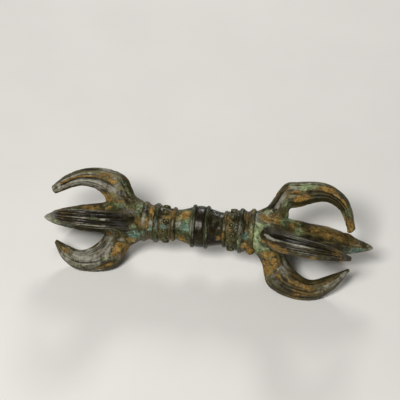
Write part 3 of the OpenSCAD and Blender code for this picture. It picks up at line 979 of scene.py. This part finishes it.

# Patches listed one by one: kind, place along and round the piece, half sizes, strength. Along a claw or
# prong it is a share of the length, and along the grip mm from the middle. Round it is in degrees: on the
# grip from straight up towards the front, on a prong from the lower front edge up the front, and on a claw
# from the outer edge, towards the back if the claw pointed straight up.
STAINS = {
    "claw_left_upper": [
        ("pale", 0.62, -146, 0.2, 24, 1), ("pale", 0.97, -90, 0.06, 80, 0.9),
        ("soil", 0.78, -82, 0.2, 11, 1.4), ("pale", 0.74, -126, 0.3, 32, 1.3),
        ("pale", 0.78, -66, 0.14, 9, 1), ("pale", 0.94, -90, 0.04, 40, 0.9),
        ("pale", 0.67, -70, 0.09, 16, 0.6), ("soil", 0.55, -58, 0.08, 25, 0.7),
        ("soil", 0.47, -76, 0.05, 16, 1), ("pale", 0.4, -106, 0.07, 24, 0.9),
        ("teal", 0.4, -40, 0.1, 18, 0.65), ("dark", 0.31, -72, 0.06, 16, 1.1),
        ("teal", 0.26, -48, 0.08, 16, 0.45), ("green", 0.34, -46, 0.08, 20, 0.6),
        ("soil", 0.16, -108, 0.08, 28, 0.9), ("soil", 0.58, 44, 0.09, 24, 1),
        ("green", 0.4, 34, 0.07, 24, 0.8), ("pale", 0.72, 76, 0.16, 26, 0.9),
    ],
    "claw_left_front": [
        # The thin pale lines at 8 and -43 degrees on the next line are painted highlights along the ridges.
        ("dark", 0.5, 36, 0.24, 22, 0.9), ("pale", 0.72, 8, 0.16, 4, 0.9), ("pale", 0.62, -43, 0.22, 4, 0.9),
        ("dark", 0.62, -20, 0.26, 16, 0.9), ("dark", 0.38, -2, 0.08, 40, 0.8),
        ("teal", 0.77, -60, 0.12, 10, 0.6), ("pale", 0.72, -50, 0.16, 9, 0.7), ("pale", 0.5, 6, 0.05, 7, 1),
        ("teal", 0.46, 7, 0.03, 8, 0.7), ("green", 0.16, -30, 0.08, 40, 0.7),
        ("soil", 0.2, 40, 0.07, 30, 0.5), ("dark", 0.9, 0, 0.1, 50, 1), ("pale", 0.87, 7, 0.1, 6, 0.8),
        ("pale", 0.06, -108, 0.05, 24, 0.7), ("green", 0.06, -108, 0.05, 24, 0.9),
    ],
    "claw_left_lower": [
        ("pale", 0.66, 46, 0.2, 34, 1), ("pale", 0.78, 76, 0.16, 44, 1.1), ("green", 0.7, 80, 0.2, 45, 0.5),
        ("soil", 0.32, 64, 0.09, 24, 1.3), ("soil", 0.5, 44, 0.08, 15, 1.2),
        ("pale", 0.6, 118, 0.3, 55, 1.2), ("soil", 0.87, 118, 0.07, 22, 0.8),
        ("green", 0.79, 80, 0.03, 9, 0.8), ("green", 0.47, 80, 0.04, 11, 0.7),
        ("pale", 0.16, 85, 0.08, 25, 0.6), ("pale", 0.45, 125, 0.1, 25, 0.7),
        ("dark", 0.99, 110, 0.03, 60, 0.6),
    ],
    "claw_right_upper": [
        ("dark", 0.46, -32, 0.06, 16, 0.6), ("soil", 0.55, -80, 0.07, 9, 1.4),
        ("pale", 0.62, -46, 0.06, 26, 0.8), ("green", 0.62, -46, 0.06, 30, 1.4),
        ("soil", 0.72, -62, 0.06, 24, 1.3), ("soil", 0.82, -76, 0.07, 14, 1.1),
        ("green", 0.52, -36, 0.06, 18, 0.8), ("dark", 0.67, -116, 0.06, 13, 0.9),
        ("teal", 0.66, -116, 0.05, 12, 0.5), ("soil", 0.56, -114, 0.07, 18, 1.2),
        ("dark", 0.33, -70, 0.1, 34, 1), ("soil", 0.1, -110, 0.09, 40, 0.7),
        ("green", 0.9, -95, 0.05, 40, 0.5), ("soil", 0.98, -95, 0.05, 60, 0.8),
        ("soil", 0.75, -100, 0.05, 14, 0.5), ("pale", 0.47, -110, 0.05, 20, 0.5),
        # The worn patch at 0.79 and -76 degrees on the next line is bare glossy metal, and its lighter
        # colour is a painted glint.
        ("wear", 0.79, -76, 0.04, 9, 1), ("wear", 0.6, -84, 0.04, 5, 0.8), ("pale", 0.46, 56, 0.09, 26, 0.8),
        ("soil", 0.64, 46, 0.06, 20, 1),
    ],
    "claw_right_front": [
        ("pale", 0.12, 10, 0.05, 60, 0.6), ("green", 0.11, 0, 0.07, 90, 1.2),
        ("dark", 0.34, 42, 0.14, 26, 1), ("dark", 0.56, 38, 0.24, 22, 1), ("dark", 0.55, 0, 0.28, 8, 1),
        ("soil", 0.26, -26, 0.08, 16, 0.9), ("soil", 0.43, -28, 0.12, 16, 1.3),
        ("soil", 0.56, -28, 0.08, 12, 0.8), ("pale", 0.68, -30, 0.12, 13, 0.9),
        # The pale stripes at 14 and 16 degrees on the next line are a painted highlight along the ridge.
        ("green", 0.8, -32, 0.12, 12, 0.7), ("pale", 0.4, 14, 0.14, 9, 1.5), ("pale", 0.62, 16, 0.12, 6, 1),
    ],
    "claw_right_lower": [
        ("soil", 0.15, 82, 0.1, 40, 0.9), ("pale", 0.34, 98, 0.09, 26, 0.8), ("soil", 0.31, 90, 0.08, 30, 1),
        ("green", 0.4, 32, 0.07, 18, 0.7), ("pale", 0.45, 108, 0.1, 26, 0.7),
        ("soil", 0.46, 84, 0.06, 14, 0.9), ("dark", 0.43, 34, 0.06, 14, 0.5),
        ("soil", 0.62, 104, 0.16, 24, 0.8), ("green", 0.38, 146, 0.1, 26, 0.7),
        ("pale", 0.44, 136, 0.14, 24, 0.8), ("soil", 0.56, 136, 0.1, 22, 0.6),
        ("soil", 0.74, 66, 0.07, 20, 0.6), ("pale", 0.86, 84, 0.12, 40, 0.8),
        ("soil", 0.84, 112, 0.1, 20, 0.7), ("pale", 0.97, 80, 0.04, 60, 0.8),
    ],
    "claw_left_back": [
        ("soil", 0.3, -78, 0.08, 26, 1), ("pale", 0.6, -108, 0.22, 32, 1.1),
        ("green", 0.46, -66, 0.06, 18, 0.9), ("soil", 0.82, -60, 0.07, 20, 0.9),
    ],
    "claw_right_back": [
        ("soil", 0.18, -85, 0.1, 36, 1), ("pale", 0.48, -112, 0.12, 28, 0.9),
        ("green", 0.36, -60, 0.07, 20, 0.9), ("soil", 0.7, -90, 0.1, 18, 1),
    ],
    "centre_prong_left": [
        ("soil", 0.3, -84, 0.12, 30, 0.9), ("pale", 0.7, -90, 0.15, 40, 0.8),
        ("green", 0.85, 60, 0.12, 60, 0.9), ("green", 0.6, 66, 0.2, 30, 0.8),
        ("pale", 0.75, 70, 0.12, 26, 0.8), ("pale", 0.78, 42, 0.12, 26, 1),
        ("green", 0.8, 44, 0.12, 24, 0.7), ("teal", 0.58, 36, 0.1, 22, 0.8),
        ("pale", 0.95, 70, 0.12, 130, 1.4), ("soil", 0.25, 135, 0.2, 25, 0.8),
        ("pale", 0.55, 130, 0.15, 25, 0.7), ("green", 0.55, 130, 0.15, 25, 0.8),
    ],
    "centre_prong_right": [
        ("green", 0.28, -92, 0.12, 30, 0.9), ("soil", 0.5, -62, 0.14, 24, 0.9),
        ("soil", 0.5, 134, 0.35, 32, 0.8), ("green", 0.14, 120, 0.08, 25, 0.7),
        ("soil", 0.06, 140, 0.05, 25, 0.7), ("dark", 0.32, 95, 0.15, 22, 0.9),
        ("soil", 0.45, 128, 0.09, 18, 1), ("dark", 0.62, 72, 0.16, 30, 0.9),
        ("pale", 0.83, 46, 0.12, 30, 0.8), ("teal", 0.82, 46, 0.15, 32, 1),
        ("pale", 0.96, 100, 0.04, 90, 0.8),
    ],
    "hub_left": [
        ("teal", 31.5, 92, 4, 26, 1.2), ("dark", 38.5, 6, 2, 8, 0.8), ("soil", 45, 2, 2.5, 16, 0.8),
        ("pale", 42, 92, 2, 12, 0.8), ("soil", 43.5, 107, 2, 12, 1.2), ("teal", 32, -95, 4, 24, 1),
        ("soil", 40, -92, 4, 20, 1), ("green", 30, 0, 2.5, 18, 0.8),
    ],
    "hub_right": [
        ("pale", 29, 70, 3.5, 60, 1), ("green", 29, 70, 4, 64, 1.5), ("soil", 34, -4, 6, 26, 1),
        ("green", 29.5, -88, 3.5, 44, 1.1), ("soil", 35, -112, 4, 22, 1),
    ],
    "outer_ring_left": [("pale", 27, 40, 2, 30, 0.7), ("teal", 27, 80, 2, 18, 0.7)],
    "neck_left": [("soil", 23, 2, 2.5, 24, 1), ("pale", 23, 50, 2, 14, 0.9), ("teal", 24, 68, 2, 16, 0.8)],
    "inner_ring_left": [("pale", 20, 55, 1.6, 30, 0.6), ("dark", 20, 10, 2, 25, 0.6)],
    "band_left": [
        ("teal", 17.3, 56, 2.2, 16, 0.8), ("soil", 16, 25, 3, 18, 0.9), ("dark", 17, 2, 3, 16, 0.9),
    ],
    "edge_ring_left": [("pale", 12.8, 45, 1.5, 30, 0.5), ("soil", 12.8, 95, 1.5, 30, 0.6)],
    "waist_left": [
        ("soil", 7.4, 8, 2.8, 22, 1.4), ("teal", 7, 48, 3.8, 22, 0.85), ("pale", 10.2, 40, 1.8, 14, 0.9),
        ("soil", 8.5, 98, 3, 20, 0.9),
    ],
    "belt_ring_left": [
        ("pale", 2.5, 45, 0.6, 60, 0.7), ("pale", 3.9, 44, 0.5, 40, 0.6), ("dark", 3, 0, 2, 20, 0.6),
    ],
    "belt_ring_right": [
        ("pale", 3.9, 55, 0.4, 34, 0.6), ("dark", 3, 5, 2, 40, 0.8), ("dark", 2.6, 60, 0.8, 50, 0.6),
    ],
    "belt": [("dark", 0, 45, 4, 80, 1), ("soil", -1, 92, 2, 12, 0.5)],
    "waist_right": [
        ("dark", 7.5, 30, 4, 40, 0.9), ("soil", 10, 78, 2, 14, 0.9), ("pale", 9.8, 41, 0.8, 5, 0.8),
    ],
    "edge_ring_right": [("soil", 11.5, 70, 1.5, 20, 0.9), ("pale", 12, 35, 1.5, 20, 0.6)],
    "band_right": [
        ("soil", 14.5, 30, 1.6, 40, 0.7), ("dark", 18, 52, 2, 16, 0.7), ("green", 16, 70, 2, 12, 0.6),
    ],
    "inner_ring_right": [("pale", 20, 50, 1.8, 50, 0.6), ("green", 20, 75, 1.6, 30, 0.5)],
    "neck_right": [
        ("soil", 22.5, -2, 2, 16, 0.7), ("teal", 23, 56, 2, 18, 0.8), ("soil", 23, 86, 2.5, 14, 1),
    ],
    "outer_ring_right": [
        ("soil", 26, 94, 2, 14, 1), ("green", 25.5, 45, 2, 26, 0.7), ("dark", 25.5, 0, 2, 16, 0.6),
    ],
}

# Clods of soil and dents: place and half sizes as above, and height in mm
LUMPS = {
    "neck_right": [(22.5, 92, 2.4, 15, 1.5)],
    "outer_ring_right": [(25.5, 103, 2.2, 12, 1.2)],
    "hub_left": [(38.5, 6, 2, 8, -0.6), (42, 92, 2.4, 13, 0.9), (44, 108, 1.8, 10, 0.8)],
    "band_right": [(14.5, 88, 2, 14, 0.8)],
}


def cover_of(name):
    """The entry whose key is the longest start of the name."""
    return COVER[max((key for key in COVER if name.startswith(key)), key=len)]


# Pieces

def add_object(name, data):
    made = bpy.data.objects.new(name, data)
    scene.collection.objects.link(made)
    return made


def make_piece(form):
    """The finished form as a piece that stands for its node."""
    mesh = bpy.data.meshes.new(form.name)
    mesh.from_pydata((form.points * MM).tolist(), [], form.faces)
    mesh.shade_smooth()
    for kind, values in form.patina.items():
        layer = mesh.attributes.new(kind, "FLOAT", "POINT")
        layer.data.foreach_set("value", values.astype(np.float32))
    piece = add_object(f"cast_{form.name}", mesh)
    slot = SLOT_OF[form.name]
    mesh.materials.append(MATERIALS[slot])
    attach(piece, "root")
    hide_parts(form.name)


def finish_form(form, lumps, dents):
    """Casts and weathers a form, turns it to its own end, and makes it lie flat on the floor."""
    cast(form, lumps, dents)
    weather(form)
    for patch in STAINS.get(form.name, ()):
        stain(form, *patch)
    for clod in LUMPS.get(form.name, ()):
        lump(form, *clod)
    age(form)
    crust(form)
    if form.end == LEFT:
        form.mirror()
    form.points[:, 2] = np.maximum(form.points[:, 2], REST_Z)
    make_piece(form)


def build_end(end):
    claws = [claw_form(name) for name in CLAWS if CLAWS[name][0] == end]
    head = [hub_form(end), prong_form(end), *claws]
    melt_together(head)
    for form in head:
        finish_form(form, *CLAW_CAST)
    for form in grip_forms(end):
        finish_form(form, *GRIP_CAST)


def build_belt():
    low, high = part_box("belt")
    form = revolve("belt", RIGHT, belt_outline(low.x / MM, high.x / MM, high.z / MM))
    finish_form(form, *CLAW_CAST)


def dress_hidden_nodes():
    for name in HIDDEN_NODES:
        node = frame["nodes"][name]
        node.data.materials.clear()
        node.data.materials.append(MATERIALS["bare_bronze"])


# Stage

# Half the floor's side, in m
FLOOR_HALF = 20
# Lamps: place and size in m, and power in W
LAMPS = {
    "key": ((-0.2, -0.45, 0.68), 0.3, 6.3),
    "back_rim": ((0, 0.68, 0.4), 0.2, 2.5),
}
WORLD_COLOUR = "#f0ede8"
WORLD_STRENGTH = 0.15


def make_floor():
    signs = ((-1, -1), (1, -1), (1, 1), (-1, 1))
    corners = [(x * FLOOR_HALF, y * FLOOR_HALF, REST_Z * MM) for x, y in signs]
    mesh = bpy.data.meshes.new("floor")
    mesh.from_pydata(corners, [], [(0, 1, 2, 3)])
    mesh.materials.append(floor_material())
    floor = add_object("floor", mesh)


def make_camera():
    turn, rise = radians(CAMERA_TURN), radians(CAMERA_RISE)
    back = np.array([sin(turn) * cos(rise), -cos(turn) * cos(rise), sin(rise)])
    right = np.array([cos(turn), sin(turn), 0])
    up = np.cross(back, right)
    per_pixel = CAMERA_DISTANCE * SENSOR / LENS / PICTURE
    aside, below = ((p - PICTURE / 2) * per_pixel for p in MIDDLE_PIXEL)
    place = (back * CAMERA_DISTANCE - right * aside + up * below) * MM
    data = bpy.data.cameras.new("camera")
    data.lens = LENS
    data.sensor_width = SENSOR
    camera = add_object("camera", data)
    rows = [(*axes, p) for axes, p in zip(zip(right, up, back), place)]
    camera.matrix_world = Matrix([*rows, (0, 0, 0, 1)])
    scene.camera = camera


def make_light():
    """Light from all round, and soft round lamps aimed at the middle of the grip."""
    world = bpy.data.worlds.new("studio")
    world.use_nodes = True
    back = world.node_tree.nodes["Background"]
    back.inputs["Color"].default_value = tone(WORLD_COLOUR)
    back.inputs["Strength"].default_value = WORLD_STRENGTH
    scene.world = world
    for name, (place, size, power) in LAMPS.items():
        data = bpy.data.lights.new(name, "AREA")
        data.shape = "DISK"
        data.size = size
        data.energy = power
        lamp = add_object(name, data)
        lamp.location = place
        lamp.rotation_euler = Vector(place).to_track_quat("Z", "Y").to_euler()


scene.view_settings.view_transform = "Standard"
make_camera()
make_floor()
make_light()
build_belt()
for end in (LEFT, RIGHT):
    build_end(end)
dress_hidden_nodes()
